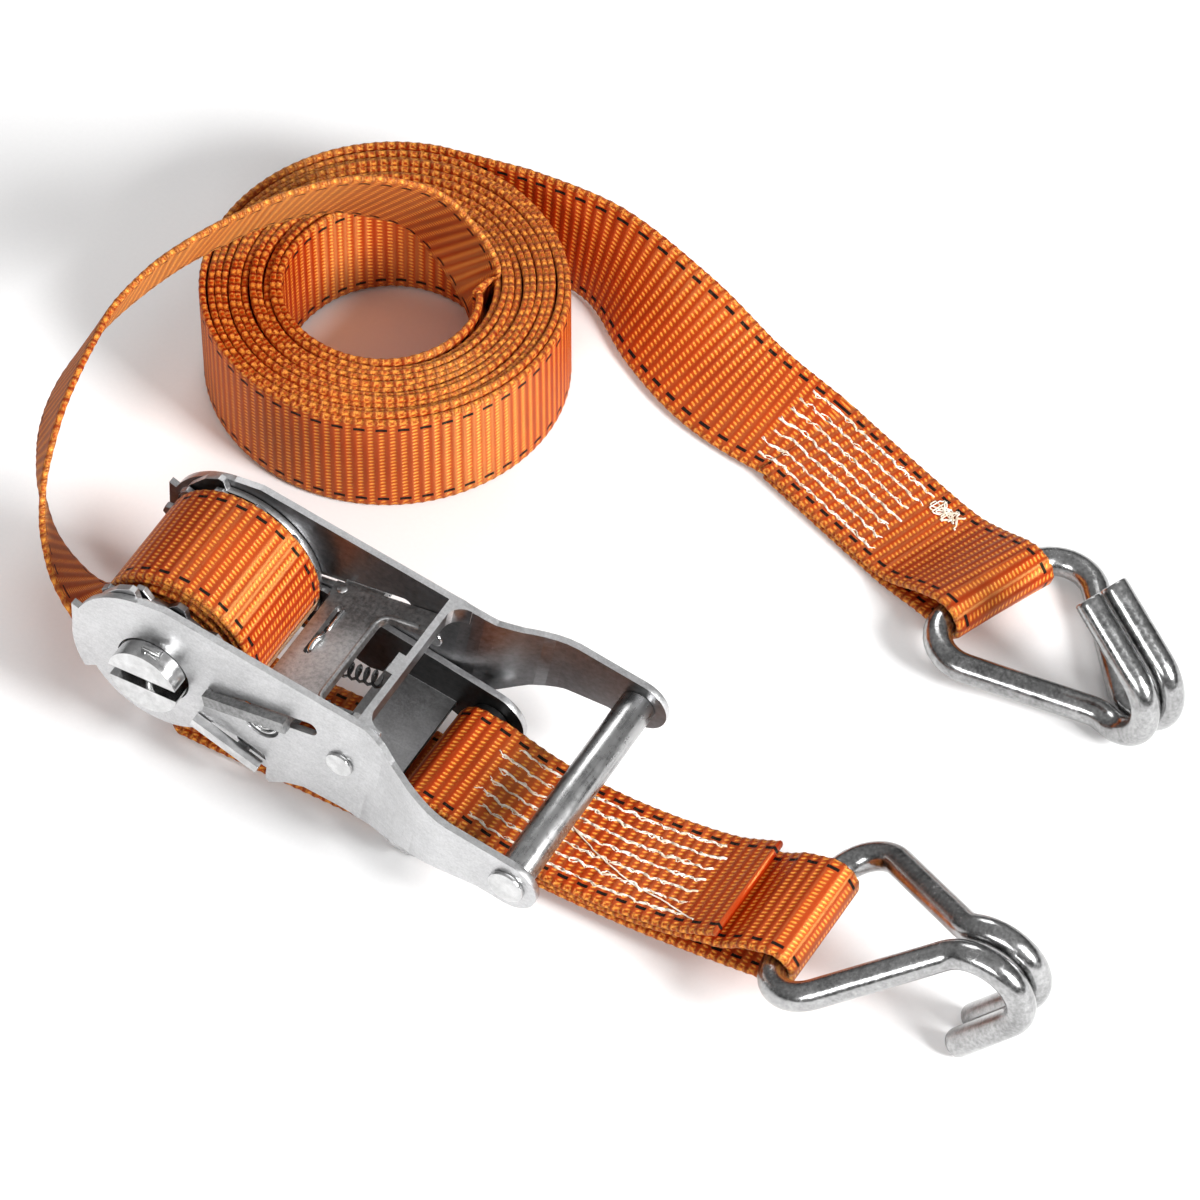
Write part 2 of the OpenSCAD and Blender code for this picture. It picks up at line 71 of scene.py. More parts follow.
# Webbing: width, thickness, spacing of the ribs along it and of the picks across it, which carry a
# painted glint
WEB_W = 35.0
WEB_T = 1.8
RIB = 3.0
PICK = 1.35
TRACER_IN = 3.2
ROW_STEP = RIB / 4
ROLL_W = 34.4

# Ratchet: drum axis, slope of the whole, and the planes of the two pawls in its own axes
DRUM = np.array([0.8, -1.4, 34.0])
TILT = math.radians(10)
SPINDLE_TURN = math.radians(12)
DRIVE_SLOPE = math.radians(19)
DRIVE_DROP = 2.4
WINDOW_AT = (33.0, 3.8)

# Centres of the anchor bolt, the coil and the crossbars of the hooks, and the hooks' headings
ANCHOR = np.array([76.371, -1.4, 10.521])
COIL = np.array([-15.8, 120.1])
HOOK_SHORT = np.array([183.5, -3.5, 19.0])
HOOK_LONG = np.array([170.0, 126.2, 8.1])
LONG_YAW = -20.5
LONG_ROLL = -5.0
WIRE_R = 4.0

RNG = np.random.default_rng(7)


def place(points):
    """Millimetres from the drum's foot to metres in the object's frame."""
    return (np.asarray(points, float) - ORIGIN) / 1000


# ------------------------------------------------------------------ camera, floor and light


LIGHT_DISTANCE = 1.4


def make_camera():
    azimuth, elevation, distance = math.radians(29.9), math.radians(50.77), 1.777
    back = Vector((
        math.sin(azimuth) * math.cos(elevation),
        -math.cos(azimuth) * math.cos(elevation),
        math.sin(elevation),
    ))
    data = bpy.data.cameras.new("camera")
    data.lens = 196.4
    data.sensor_width = 36
    data.clip_end = 20
    camera = bpy.data.objects.new("camera", data)
    camera.location = Vector(place([77.0, 76.3, 0.0])) + back * distance
    camera.rotation_euler = back.to_track_quat("Z", "Y").to_euler()
    bpy.context.scene.collection.objects.link(camera)
    bpy.context.scene.camera = camera


def make_light(name, direction, size, power):
    data = bpy.data.lights.new(name, "AREA")
    data.shape = "RECTANGLE"
    data.size, data.size_y = size
    data.energy = power
    light = bpy.data.objects.new(name, data)
    toward = Vector(direction).normalized()
    light.location = toward * LIGHT_DISTANCE
    light.rotation_euler = toward.to_track_quat("Z", "Y").to_euler()
    bpy.context.scene.collection.objects.link(light)


def make_floor():
    half = 6
    corners = [(-half, -half, 0), (half, -half, 0), (half, half, 0), (-half, half, 0)]
    mesh = bpy.data.meshes.new("floor")
    mesh.from_pydata(corners, [], [(0, 1, 2, 3)])
    mesh.materials.append(floor_material())
    floor = bpy.data.objects.new("floor", mesh)
    floor.location.z = -0.0005
    bpy.context.scene.collection.objects.link(floor)


def make_world():
    """A white studio, dark near the horizon and bright overhead."""
    world = bpy.data.worlds.new("studio")
    world.use_nodes = True
    sky = world.node_tree
    direction = sky.nodes.new("ShaderNodeTexCoord")
    parts = sky.nodes.new("ShaderNodeSeparateXYZ")
    ramp = sky.nodes.new("ShaderNodeMapRange")
    for name, value in {"From Min": 0.0, "From Max": 0.7, "To Min": 0.04, "To Max": 0.46}.items():
        ramp.inputs[name].default_value = value
    background = sky.nodes["Background"]
    sky.links.new(direction.outputs["Generated"], parts.inputs[0])
    sky.links.new(parts.outputs["Z"], ramp.inputs["Value"])
    sky.links.new(ramp.outputs[0], background.inputs["Strength"])
    background.inputs["Color"].default_value = (1, 1, 1, 1)
    bpy.context.scene.world = world
    bpy.context.scene.view_settings.view_transform = "Standard"


# ------------------------------------------------------------------ material helpers


class Graph:
    """A material's nodes, with one short call for each node."""

    def __init__(self, name):
        self.material = bpy.data.materials.new(name)
        self.material.use_nodes = True
        self.tree = self.material.node_tree
        self.shader = self.tree.nodes["Principled BSDF"]

    def feed(self, socket, value):
        if isinstance(value, bpy.types.NodeSocket):
            self.tree.links.new(value, socket)
        elif value is not None:
            socket.default_value = value

    def node(self, kind, inputs=(), out=0, **settings):
        made = self.tree.nodes.new(kind)
        for key, value in settings.items():
            setattr(made, key, value)
        for key, value in dict(inputs).items():
            self.feed(made.inputs[key], value)
        return made.outputs[out]

    def math(self, operation, a, b=None):
        made = self.tree.nodes.new("ShaderNodeMath")
        made.operation = operation
        for socket, value in zip(made.inputs, (a, b)):
            self.feed(socket, value)
        return made.outputs[0]

    def wave(self, phase, low=-1):
        """A cosine of the phase in turns, spread over 0 to 1."""
        return self.remap(self.math("COSINE", self.math("MULTIPLY", phase, 2 * math.pi)), low, 1, 0, 1)

    def mix(self, factor, a, b):
        made = self.tree.nodes.new("ShaderNodeMix")
        made.data_type = "RGBA"
        for index, value in ((0, factor), (6, a), (7, b)):
            self.feed(made.inputs[index], value)
        return made.outputs[2]

    def remap(self, value, low, high, to_low, to_high):
        inputs = {1: low, 2: high, 3: to_low, 4: to_high}
        made = self.tree.nodes.new("ShaderNodeMapRange")
        self.feed(made.inputs[0], value)
        for index, number in inputs.items():
            made.inputs[index].default_value = number
        return made.outputs[0]

    def noise(self, vector, scale, detail=2.0, roughness=0.5):
        inputs = {"Vector": vector, "Scale": scale, "Detail": detail, "Roughness": roughness}
        return self.node("ShaderNodeTexNoise", inputs)

    def place(self):
        """The object's own coordinates."""
        return self.node("ShaderNodeTexCoord", out=3)

    def stretched(self, scale):
        return self.node("ShaderNodeMapping", {"Vector": self.place(), "Scale": scale})

    def bump(self, height, distance, strength=1.0):
        inputs = {"Height": height, "Distance": distance, "Strength": strength}
        return self.node("ShaderNodeBump", inputs)

    def finish(self, **values):
        for name, value in values.items():
            self.feed(self.shader.inputs[name.replace("_", " ")], value)
        return self.material


def webbing_material(name, base, deep_tone_and_shade, bright):
    """Woven polyester: ribs across the strap, a row of picks on each with a painted glint, black tracer
    dashes and bead edges that carry a painted glint too; painted shade darkens the grooves between the
    ribs and the edges. "web" holds millimetres across and along the strap; "run" is the direction along
    it, which turns the yarn's sheen."""
    g = Graph(name)
    web = g.node("ShaderNodeAttribute", out=1, attribute_name="web")
    split = g.tree.nodes.new("ShaderNodeSeparateXYZ")
    g.feed(split.inputs[0], web)
    across, along = split.outputs[0], split.outputs[1]
    rib = g.math("DIVIDE", along, RIB)
    inside = g.math("SUBTRACT", g.math("FRACT", rib), 0.5)
    crest = g.wave(inside)
    stagger = g.math("MULTIPLY", g.math("FLOOR", rib), 0.5)
    yarn = g.math("FRACT", g.math("ADD", g.math("DIVIDE", across, PICK), stagger))
    aside = g.math("MULTIPLY", g.math("SUBTRACT", yarn, 0.5), PICK / 0.4)
    aside = g.math("ADD", aside, g.math("MULTIPLY", inside, 1.6))
    reach = g.math("MULTIPLY", inside, RIB / 0.85)
    far = g.math("ADD", g.math("MULTIPLY", aside, aside), g.math("MULTIPLY", reach, reach))
    pick = g.remap(far, 1.2, 0.2, 0, 1)
    fibre = g.noise(g.stretched((900, 900, 900)), 2.2, 3.0, 0.6)
    patch = g.noise(g.place(), 60, 2.0)

    side = g.math("ABSOLUTE", across)
    line = g.math("LESS_THAN", g.math("ABSOLUTE", g.math("SUBTRACT", side, WEB_W / 2 - TRACER_IN)), 0.5)
    dash = g.math("LESS_THAN", g.math("FRACT", g.math("DIVIDE", along, 2 * RIB)), 0.52)
    tracer = g.math("MULTIPLY", line, dash)
    edge = g.remap(side, WEB_W / 2 - 1.6, WEB_W / 2 - 0.9, 0, 1)
    shaken = g.math("ADD", along, g.math("MULTIPLY", fibre, 1.5))
    edge_bead = g.math("MULTIPLY", edge, g.wave(g.math("DIVIDE", shaken, RIB / 2), -0.2))
    height = g.math("ADD", g.math("MULTIPLY", pick, 0.7), g.math("MULTIPLY", crest, 0.5))
    height = g.math("ADD", height, g.math("MULTIPLY", fibre, 0.35))
    height = g.math("ADD", height, edge_bead)

    # Painted shade: darker in the grooves between ribs (low crest) and at the edges; the patch and fibre
    # noise add random tone.
    tone = g.math("ADD", g.math("MULTIPLY", crest, 0.55), g.remap(patch, 0.35, 0.65, 0.1, 0.35))
    tone = g.math("ADD", tone, g.math("MULTIPLY", fibre, 0.3))
    tone = g.math("SUBTRACT", tone, g.math("MULTIPLY", edge, 0.25))
    colour = g.mix(g.remap(tone, 0.1, 0.8, 0, 1), deep_tone_and_shade, base)
    # Painted highlight: a glint on each pick and on the edge beads, mixed in as the bright colour.
    spark = g.math("MAXIMUM", pick, g.math("MULTIPLY", edge_bead, 0.5))
    spark = g.math("MULTIPLY", spark, g.remap(fibre, 0.3, 0.62, 0.35, 1))
    colour = g.mix(g.math("MULTIPLY", spark, 0.85), colour, bright)
    colour = g.mix(tracer, colour, (0.008, 0.007, 0.007, 1))
    run = g.node("ShaderNodeAttribute", out=1, attribute_name="run")
    run = g.node("ShaderNodeVectorTransform", {"Vector": run}, vector_type="VECTOR",
                 convert_from="OBJECT", convert_to="WORLD")
    return g.finish(
        Base_Color=colour, Normal=g.bump(height, 0.00022, 0.8),
        Roughness=g.remap(fibre, 0.3, 0.7, 0.42, 0.54), IOR=1.7,
        Specular_IOR_Level=g.remap(tracer, 0, 1, 1.0, 0.1), Specular_Tint=(1.0, 0.66, 0.2, 1),
        Anisotropic=0.92, Anisotropic_Rotation=0.25, Tangent=run,
    )


def thread_material(name, colour, dark):
    g = Graph(name)
    twist = g.noise(g.stretched((1500, 1500, 1500)), 2.0, 2.0)
    soft = g.noise(g.place(), 400, 2.0)
    tone = g.mix(g.remap(soft, 0.35, 0.65, 0, 1), dark, colour)
    return g.finish(Base_Color=tone, Roughness=0.75, Normal=g.bump(twist, 0.0001), Sheen_Weight=0.2)


def steel_material(name, light, dark, rough, grain, mottle=260.0, streak=0.3):
    """Plated steel: mottled plating, scratches along the grain, and rubbed patches."""
    g = Graph(name)
    spots = g.noise(g.place(), mottle, 5.0, 0.62)
    cloud = g.noise(g.place(), 45, 3.0, 0.55)
    lines = g.noise(g.stretched(grain), 1.0, 4.0, 0.65)
    tone = g.math("ADD", g.math("MULTIPLY", spots, 0.45), g.math("MULTIPLY", cloud, 0.35))
    tone = g.math("ADD", tone, g.math("MULTIPLY", lines, streak))
    colour = g.mix(g.remap(tone, 0.4, 0.68, 0, 1), dark, light)
    roughness = g.remap(g.math("ADD", g.math("MULTIPLY", spots, 0.6), g.math("MULTIPLY", lines, 0.4)),
                        0.35, 0.65, rough[0], rough[1])
    relief = g.math("ADD", g.math("MULTIPLY", lines, 0.5), spots)
    return g.finish(
        Base_Color=colour, Metallic=1.0, Roughness=roughness, Normal=g.bump(relief, 0.00006, 0.55))


def floor_material():
    g = Graph("floor_paper")
    grain = g.noise(g.place(), 900, 3.0)
    colour = g.mix(grain, (0.86, 0.86, 0.86, 1), (0.9, 0.9, 0.9, 1))
    return g.finish(Base_Color=colour, Roughness=0.9)


# ------------------------------------------------------------------ shape helpers


def new_piece(name, points, faces, material, body):
    """A mesh piece from points in metres, riding on a body."""
    mesh = bpy.data.meshes.new(name)
    mesh.from_pydata([tuple(p) for p in points], [], faces)
    mesh.validate()
    mesh.shade_smooth()
    mesh.materials.append(material)
    piece = bpy.data.objects.new(name, mesh)
    bpy.context.scene.collection.objects.link(piece)
    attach(piece, body)
    return piece


def tube_faces(rings, sides):
    """Quads between rings of equal size, and a cap on each end."""
    i, k = np.meshgrid(np.arange(rings - 1), np.arange(sides), indexing="ij")
    nxt = (k + 1) % sides
    quads = np.stack([i * sides + k, i * sides + nxt, (i + 1) * sides + nxt, (i + 1) * sides + k], -1)
    faces = quads.reshape(-1, 4).tolist()
    faces.append(list(range(sides))[::-1])
    faces.append([(rings - 1) * sides + s for s in range(sides)])
    return faces


def smooth_route(points, steps=12):
    """Catmull-Rom points through the given ones."""
    p = np.asarray(points, float)
    padded = np.vstack([p[:1], p, p[-1:]])
    t = np.arange(steps)[:, None] / steps
    parts = []
    for a, b, c, d in zip(padded, padded[1:], padded[2:], padded[3:]):
        parts.append(0.5 * (2 * b + (c - a) * t + (2 * a - 5 * b + 4 * c - d) * t**2
                            + (3 * b - a - 3 * c + d) * t**3))
    return np.vstack([*parts, p[-1:]])


def unit(v):
    return v / np.linalg.norm(v, axis=-1, keepdims=True)


def even(path, extra, step):
    """The path and its extra columns at equal steps along it."""
    lengths = np.concatenate([[0], np.cumsum(np.linalg.norm(np.diff(path, axis=0), axis=1))])
    count = int(round(lengths[-1] / step)) + 1
    at = np.linspace(0, lengths[-1], count)
    columns = np.hstack([path, extra])
    return np.stack([np.interp(at, lengths, c) for c in columns.T], 1), lengths[-1]


def section(width, thick):
    """Cross-section of webbing: flat faces with a rounded bead at each edge."""
    half, r = width / 2, thick / 2
    flat = np.linspace(-half + r, half - r, 13)
    arc = np.radians([50, 0, -50])
    right = [(half - r + r * math.cos(a), r * math.sin(a)) for a in arc]
    left = [(-half + r - r * math.cos(a), -r * math.sin(a)) for a in arc]
    top = [(x, r) for x in flat]
    bottom = [(x, -r) for x in flat[::-1]]
    return np.array(top + right + bottom + left)


def webbing(name, path, across, material, body, width=WEB_W):
    """A strap along a path in millimetres; returns the piece, its length in metres and its rows."""
    rows, length = even(path, across, ROW_STEP)
    centre, wide = rows[:, :3], rows[:, 3:6]
    ahead = unit(np.gradient(centre, axis=0))
    wide = unit(wide - np.sum(wide * ahead, 1, keepdims=True) * ahead)
    face = np.cross(ahead, wide)
    along = np.linspace(0, length, len(rows))
    profile = section(width, WEB_T)
    swell = 0.06 * np.cos(2 * math.pi * along / RIB)[:, None]
    edge = np.clip((np.abs(profile[:, 0]) - width / 2 + 1.2) / 0.8, 0, 1)[None, :]
    rise = np.sign(profile[:, 1])[None, :] * swell
    out = profile[:, 0][None, :] + np.sign(profile[:, 0])[None, :] * edge * swell * 1.6
    high = profile[:, 1][None, :] + rise
    points = (centre[:, None] + wide[:, None] * out[..., None] + face[:, None] * high[..., None])
    count, sides = points.shape[:2]
    faces = tube_faces(count, sides)
    piece = new_piece(name, place(points.reshape(-1, 3)), faces, material, body)
    web = np.zeros((count, sides, 3))
    web[..., 0] = profile[:, 0][None, :] * WEB_W / width
    web[..., 1] = along[:, None]
    run = np.repeat(ahead[:, None], sides, axis=1)
    for label, values in (("web", web), ("run", run)):
        layer = piece.data.attributes.new(label, "FLOAT_VECTOR", "POINT")
        layer.data.foreach_set("vector", values.reshape(-1))
    return piece, length / 1000, (centre, wide, face)


def wire_piece(name, path, radius, material, body, sides=20):
    """A round wire along a path in millimetres; radius may vary along it."""
    path = np.asarray(path, float)
    radius = np.broadcast_to(radius, len(path))
    ahead = unit(np.gradient(path, axis=0))
    side = np.zeros_like(path)
    u = np.cross(ahead[0], [0.3, 0.2, 1.0])
    for i, d in enumerate(ahead):
        u = u - (u @ d) * d
        u = u / np.linalg.norm(u)
        side[i] = u
    up = np.cross(ahead, side)
    angle = np.linspace(0, 2 * math.pi, sides, endpoint=False)
    ring = side[:, None] * np.cos(angle)[None, :, None] + up[:, None] * np.sin(angle)[None, :, None]
    points = path[:, None] + ring * radius[:, None, None]
    faces = tube_faces(len(path), sides)
    return new_piece(name, place(points.reshape(-1, 3)), faces, material, body)


def turned(yaw=0.0, pitch=0.0, roll=0.0):
    """Rotation like the CAD's rotate([roll, -pitch, yaw]), in degrees."""
    z, y, x = math.radians(yaw), math.radians(-pitch), math.radians(roll)
    rz = np.array([[math.cos(z), -math.sin(z), 0], [math.sin(z), math.cos(z), 0], [0, 0, 1]])
    ry = np.array([[math.cos(y), 0, math.sin(y)], [0, 1, 0], [-math.sin(y), 0, math.cos(y)]])
    rx = np.array([[1, 0, 0], [0, math.cos(x), -math.sin(x)], [0, math.sin(x), math.cos(x)]])
    return rz @ ry @ rx


def to_ratchet(points):
    """From the ratchet's own axes to the table."""
    c, s = math.cos(TILT), math.sin(TILT)
    turn = np.array([[c, 0, s], [0, 1, 0], [-s, 0, c]])
    return np.asarray(points, float) @ turn.T + DRUM


def refined(node, material, bevel, inner):
    """A copy of a CAD node with its sheared edges rounded over, standing for the node. Faces turned to
    the ratchet's middle, and the crossbar's back, take the inner material: a darker copy that paints
    shade there."""
    source = frame["nodes"][node]
    mesh = source.data.copy()
    mesh.name = node + "_shape"
    work = bmesh.new()
    work.from_mesh(mesh)
    bmesh.ops.remove_doubles(work, verts=work.verts, dist=1e-6)
    bmesh.ops.dissolve_limit(work, angle_limit=math.radians(0.6), verts=work.verts, edges=work.edges)
    work.to_mesh(mesh)
    work.free()
    mesh.materials.clear()
    mesh.materials.append(material)
    piece = bpy.data.objects.new(node + "_skin", mesh)
    bpy.context.scene.collection.objects.link(piece)
    rounding = piece.modifiers.new("edges", "BEVEL")
    rounding.width = bevel / 1000
    rounding.segments = 2
    rounding.limit_method = "ANGLE"
    rounding.angle_limit = math.radians(35)
    rounding.harden_normals = False
    bpy.context.view_layer.objects.active = piece
    with bpy.context.temp_override(object=piece, active_object=piece, selected_objects=[piece]):
        bpy.ops.object.modifier_apply(modifier=rounding.name)
        bpy.ops.object.shade_auto_smooth(angle=math.radians(32))
    # Painted shade: faces turned to the middle and the crossbar's back get the darker inner material.
    if inner is not None:
        mesh.materials.append(inner)
        middle = place([0, DRUM[1], 0])[1]
        for face in mesh.polygons:
            off = face.center.y - middle
            turned_in = face.normal.y * off < 0 and abs(face.normal.y) > 0.5
            crossbar = abs(off) < 0.0185 and face.normal.x > 0.5
            face.material_index = int(turned_in or crossbar)
    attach(piece, frame["nodes"][node]["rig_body"])
    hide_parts(node)


# ------------------------------------------------------------------ hooks


def corner(a, b, c, r, steps):
    """Points of a round corner of radius r at b."""
    u, v = unit(a - b), unit(c - b)
    half = math.acos(u @ v) / 2
    centre = b + unit(u + v) * r / math.sin(half)
    p, q = b + u * r / math.tan(half) - centre, b + v * r / math.tan(half) - centre
    turn = math.acos(unit(p) @ unit(q))
    t = np.linspace(0, 1, steps + 1)[:, None]
    return centre + (np.sin((1 - t) * turn) * p + np.sin(t * turn) * q) / math.sin(turn)


def half_hook(side):
    """From the crossbar's middle to one tip: X along the legs, Z towards the throat."""
    throat_r, turn, straight, apart = 12.5, math.radians(152), 51.0, side * 4.5
    middle = np.array([0.0, 0, 0])
    outer_corner = np.array([0.0, side * 34, 0])
    joined = np.array([48.5, apart, 0])
    throat_start = np.array([57.0, apart, 0])
    angle = np.linspace(0.04, 1, 26) * turn
    x = straight + throat_r * np.sin(angle)
    z = throat_r * (1 - np.cos(angle))
    throat = np.stack([x, np.full(26, apart), z], 1)
    leaving = np.array([math.cos(turn), 0, math.sin(turn)])
    ends = [throat[-1] + leaving * d for d in (6, 12, 18, 22.8, 23.7, 24.0)]
    return np.vstack([
        corner(middle, outer_corner, joined, 11, 12),
        corner(outer_corner, joined, throat_start, 10, 6),
        throat,
        ends,
    ])


def make_hook(name, node, at, yaw, pitch, roll, throat_down, body, material):
    near, far = half_hook(-1), half_hook(1)
    middle = np.linspace(near[0], far[0], 10)[1:-1]
    path = np.vstack([near[::-1], middle, far])
    radius = np.full(len(path), WIRE_R)
    radius[[0, -1]] = WIRE_R - 0.7
    radius[[1, -2]] = WIRE_R - 0.15
    if throat_down:
        path = path * [1, 1, -1]
    path = path @ turned(yaw, pitch, roll).T + at
    piece = wire_piece(name, path, radius, material, body, sides=28)
    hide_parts(node)


# ------------------------------------------------------------------ straps

LEAD = np.array([
    [6, 130, 17.5], [2, 141, 20], [-8, 146, 29], [-21, 144, 40], [-35, 131, 50],
    [-46, 115, 54], [-54, 101, 54], [-60, 87, 54], [-65, 74, 52], [-68, 60, 49.5],
    [-68, 46, 47], [-66, 33, 44.5], [-63, 22, 40.5], [-59.5, 13, 34], [-54, 6, 26.5],
    [-46, 1, 20.5], [-37, -2, 16.5], [-28, -2, 14], [-19.5, -1.4, 12],
])
LEAD_ACROSS = np.array([
    [0, 0, 1], [0.3, -0.1, 0.95], [0.46, -0.2, 0.86], [0.46, -0.22, 0.86], [0.46, -0.23, 0.85],
    [0.48, -0.2, 0.85], [0.47, -0.18, 0.86], [0.44, -0.21, 0.87], [0.4, -0.28, 0.87],
    [0.38, -0.45, 0.8], [0.46, -0.46, 0.76], [0.49, -0.44, 0.75], [0.47, -0.45, 0.75],
    [0.42, -0.5, 0.76], [0.33, -0.55, 0.77], [0.27, -0.65, 0.7], [0.22, -0.76, 0.61],
    [0.12, -0.92, 0.37], [0, -1, 0],
])
LONG = np.array([
    [-29, 170.5, 17.5], [-4, 174.5, 17.5], [24, 172.5, 17.5], [50, 163.5, 12.6], [74, 156.5, 6.6],
    [98.7, 153, 2.9],
])
LONG_ACROSS = np.array([
    [0, 0, 1], [0, 0.1, 1], [0, 0.3, 0.95], [0.1, 0.72, 0.69], [0.22, 0.92, 0.3], [0.35, 0.94, 0],
])


def coil_route():
    """The spiral from the coil's inner end out to the long strap, its turns stacked unevenly."""
    start, stop, turns, lies_at = math.radians(24), math.radians(104.6), 12, 17.5
    angle = np.linspace(start, stop - 2 * math.pi * turns, 2600)
    wound = start - angle
    inner, outer = 28.7, 51.2
    radius = inner + (outer - inner) * wound / wound[-1]
    radius = radius - 3.4 * np.exp(-wound / 0.7)
    last = np.clip((wound - wound[-1] + 2.2) / 2.2, 0, 1)
    radius = radius + 1.7 * last**2
    wobble = 0.22 * np.sin(wound * 2.63 + 0.4) + 0.16 * np.sin(wound * 4.17 + 1.9)
    height = 17.9 + 0.45 * np.sin(wound * 0.71) + 0.35 * np.sin(wound * 1.37 + 2.0)
    settle = np.exp(-wound / 0.5) + np.exp((wound - wound[-1]) / 0.5)
    height = height + (lies_at - height) * np.clip(settle, 0, 1)
    x = COIL[0] + (radius + wobble) * np.cos(angle)
    y = COIL[1] + (radius + wobble) * np.sin(angle)
    return np.stack([x, y, height], 1)


def loop_over(at_x, at_z, radius, first, last, steps=26):
    """Points in x and z round a wire, from angle first to angle last, in degrees."""
    angle = np.radians(np.linspace(first, last, steps))
    return np.stack([at_x + radius * np.cos(angle), at_z + radius * np.sin(angle)], 1)


def make_main_strap(material):
    """One length of webbing: drum, lead, coil, long strap, round the hook and back under."""
    lead = smooth_route(np.hstack([LEAD, LEAD_ACROSS])[::-1])
    coil = coil_route()
    coil = np.hstack([coil, np.tile([0, 0, 1.0], (len(coil), 1))])
    long = smooth_route(np.hstack([LONG, LONG_ACROSS])[1:])
    turn = turned(yaw=LONG_YAW)
    rolled = turned(yaw=LONG_YAW, roll=LONG_ROLL)
    top = smooth_route([
        [-68, 2.9], [-50, 2.8], [-36, 2.9], [-27, 3.3], [-20, 5.2], [-10, 10.2], [-4, 13.0],
    ], 8)
    around = loop_over(0, HOOK_LONG[2], 5.75, 112, -108)
    under = smooth_route([[-9, 1.9], [-18, 1.2], [-30, 0.95], [-50, 0.95], [-74, 0.95]], 8)
    side = np.vstack([top, around, under])
    local = np.stack([side[:, 0], np.zeros(len(side)), side[:, 1]], 1)
    near_wire = np.clip((local[:, 0] + 26) / 14, 0, 1)[:, None]
    wide = (1 - near_wire) * turn[:, 1] + near_wire * rolled[:, 1]
    sewn = np.hstack([local @ turn.T + [HOOK_LONG[0], HOOK_LONG[1], 0], wide])
    route = np.vstack([lead[:-1], coil[1:], long, sewn])
    piece, length, rows = webbing("web_main", route[:, :3], route[:, 3:], material, "ratchet_base")
    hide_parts("strap_lead", "webbing_coil", "strap_long")
    return piece, length, rows


def make_short_strap(material):
    """One length: a flap end on top, round the sleeve, under, and round the hook's wire."""
    reach_x, reach_y, rise = HOOK_SHORT - ANCHOR
    turn = turned(yaw=math.degrees(math.atan2(reach_y, reach_x)))
    run = float(np.hypot(reach_x, reach_y))
    top = smooth_route([
        [90.5, 11.2], [86, 8.6], [78, 4.6], [66, 1.7], [52, -0.3],
        [38, -0.8], [24, 0.8], [14, 3.6], [7, 6.0],
    ], 8)
    sleeve = loop_over(0, 0, 6.9, 66, 294, 30)
    under = smooth_route([
        [10, -4.6], [24, -4.6], [38, -4.5], [52, -4.1],
        [68, -3.0], [84, -0.9], [96, 1.0], [run - 2, rise - 5.9],
    ], 8)
    hook = loop_over(run, rise, 5.9, -78, 118)
    back = smooth_route([
        [run - 9, rise + 3.0], [92, 7.2], [86, 5.4], [78, 2.6],
        [66, -0.3], [52, -2.2], [38, -2.6], [28, -2.5],
    ], 8)
    side = np.vstack([top, sleeve, under, hook, back])
    local = np.stack([side[:, 0], np.zeros(len(side)), side[:, 1]], 1)
    path = local @ turn.T + ANCHOR
    wide = np.tile(turn[:, 1], (len(path), 1))
    piece, length, rows = webbing("web_short", path, wide, material, "short_strap")
    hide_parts("strap_short")
    return piece, length, rows


def make_roll(material):
    """Loose turns round the spindle, the outer one first; it hangs off centre."""
    turns, inner_r, outer_r, first = 5.6, 11.9, 22.3, math.radians(-125)
    c, s = math.cos(SPINDLE_TURN), math.sin(SPINDLE_TURN)
    angle = np.linspace(first, first - 2 * math.pi * turns, 900)
    part = np.clip((first - angle) / (2 * math.pi), 0, turns)
    grown = np.clip(1 - (part - 0.9) / (turns - 0.9), 0, 1)
    radius = inner_r + (outer_r - inner_r) * grown
    tail = np.clip(1 - part / 0.16, 0, 1) ** 2
    x = 1.9 * grown + (radius + 3.4 * tail) * np.cos(angle)
    z = 5.2 * grown + (radius + 3.4 * tail) * np.sin(angle)
    inner = np.linspace(9, -9, 16)
    slot = np.stack([inner * c, inner * s], 1)
    end = np.array([[x[-1], z[-1]]])
    bend = smooth_route(np.vstack([end, (end * 0.5 + slot[:1] * 0.5) * 1.06, slot[:1]]), 10)
    side = np.vstack([np.stack([x, z], 1), bend[1:-1], slot])
    skew = -0.8 * np.interp(np.arange(len(side)), np.arange(len(grown)), 1 - grown)
    path = to_ratchet(np.stack([side[:, 0], skew, side[:, 1]], 1))
    wide = np.tile([0, 1.0, 0], (len(path), 1))
    piece, length, _ = webbing("web_roll", path, wide, material, "drum", width=ROLL_W)
    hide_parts("webbing_roll")
    return piece, length


def make_flap(material):
    side = smooth_route([[66, 1.1], [50, 1.0], [30, 1.0], [12, 1.0], [5, 1.1]], 8)
    curl = loop_over(3.6, 2.9, 1.9, 270, 100, 12)
    tip = np.array([[5.5, 5.0], [9, 5.4]])
    side = np.vstack([side, curl, tip])
    path = np.stack([side[:, 0], np.full(len(side), -2.8), side[:, 1]], 1)
    wide = np.tile([0, 1.0, 0], (len(path), 1))
    piece, length, _ = webbing("web_flap", path, wide, material, "ratchet_base")
    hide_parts("wear_flap")
    return piece, length


def on_face(rows, along, across, lift, face_sign):
    """Points on a strap's face, from millimetres along it, across it and above it."""
    centre, wide, face = rows
    index = np.clip((along / ROW_STEP).astype(int), 0, len(centre) - 1)
    height = face_sign * (WEB_T / 2 + lift)
    return centre[index] + wide[index] * across[:, None] + face[index] * height[:, None]


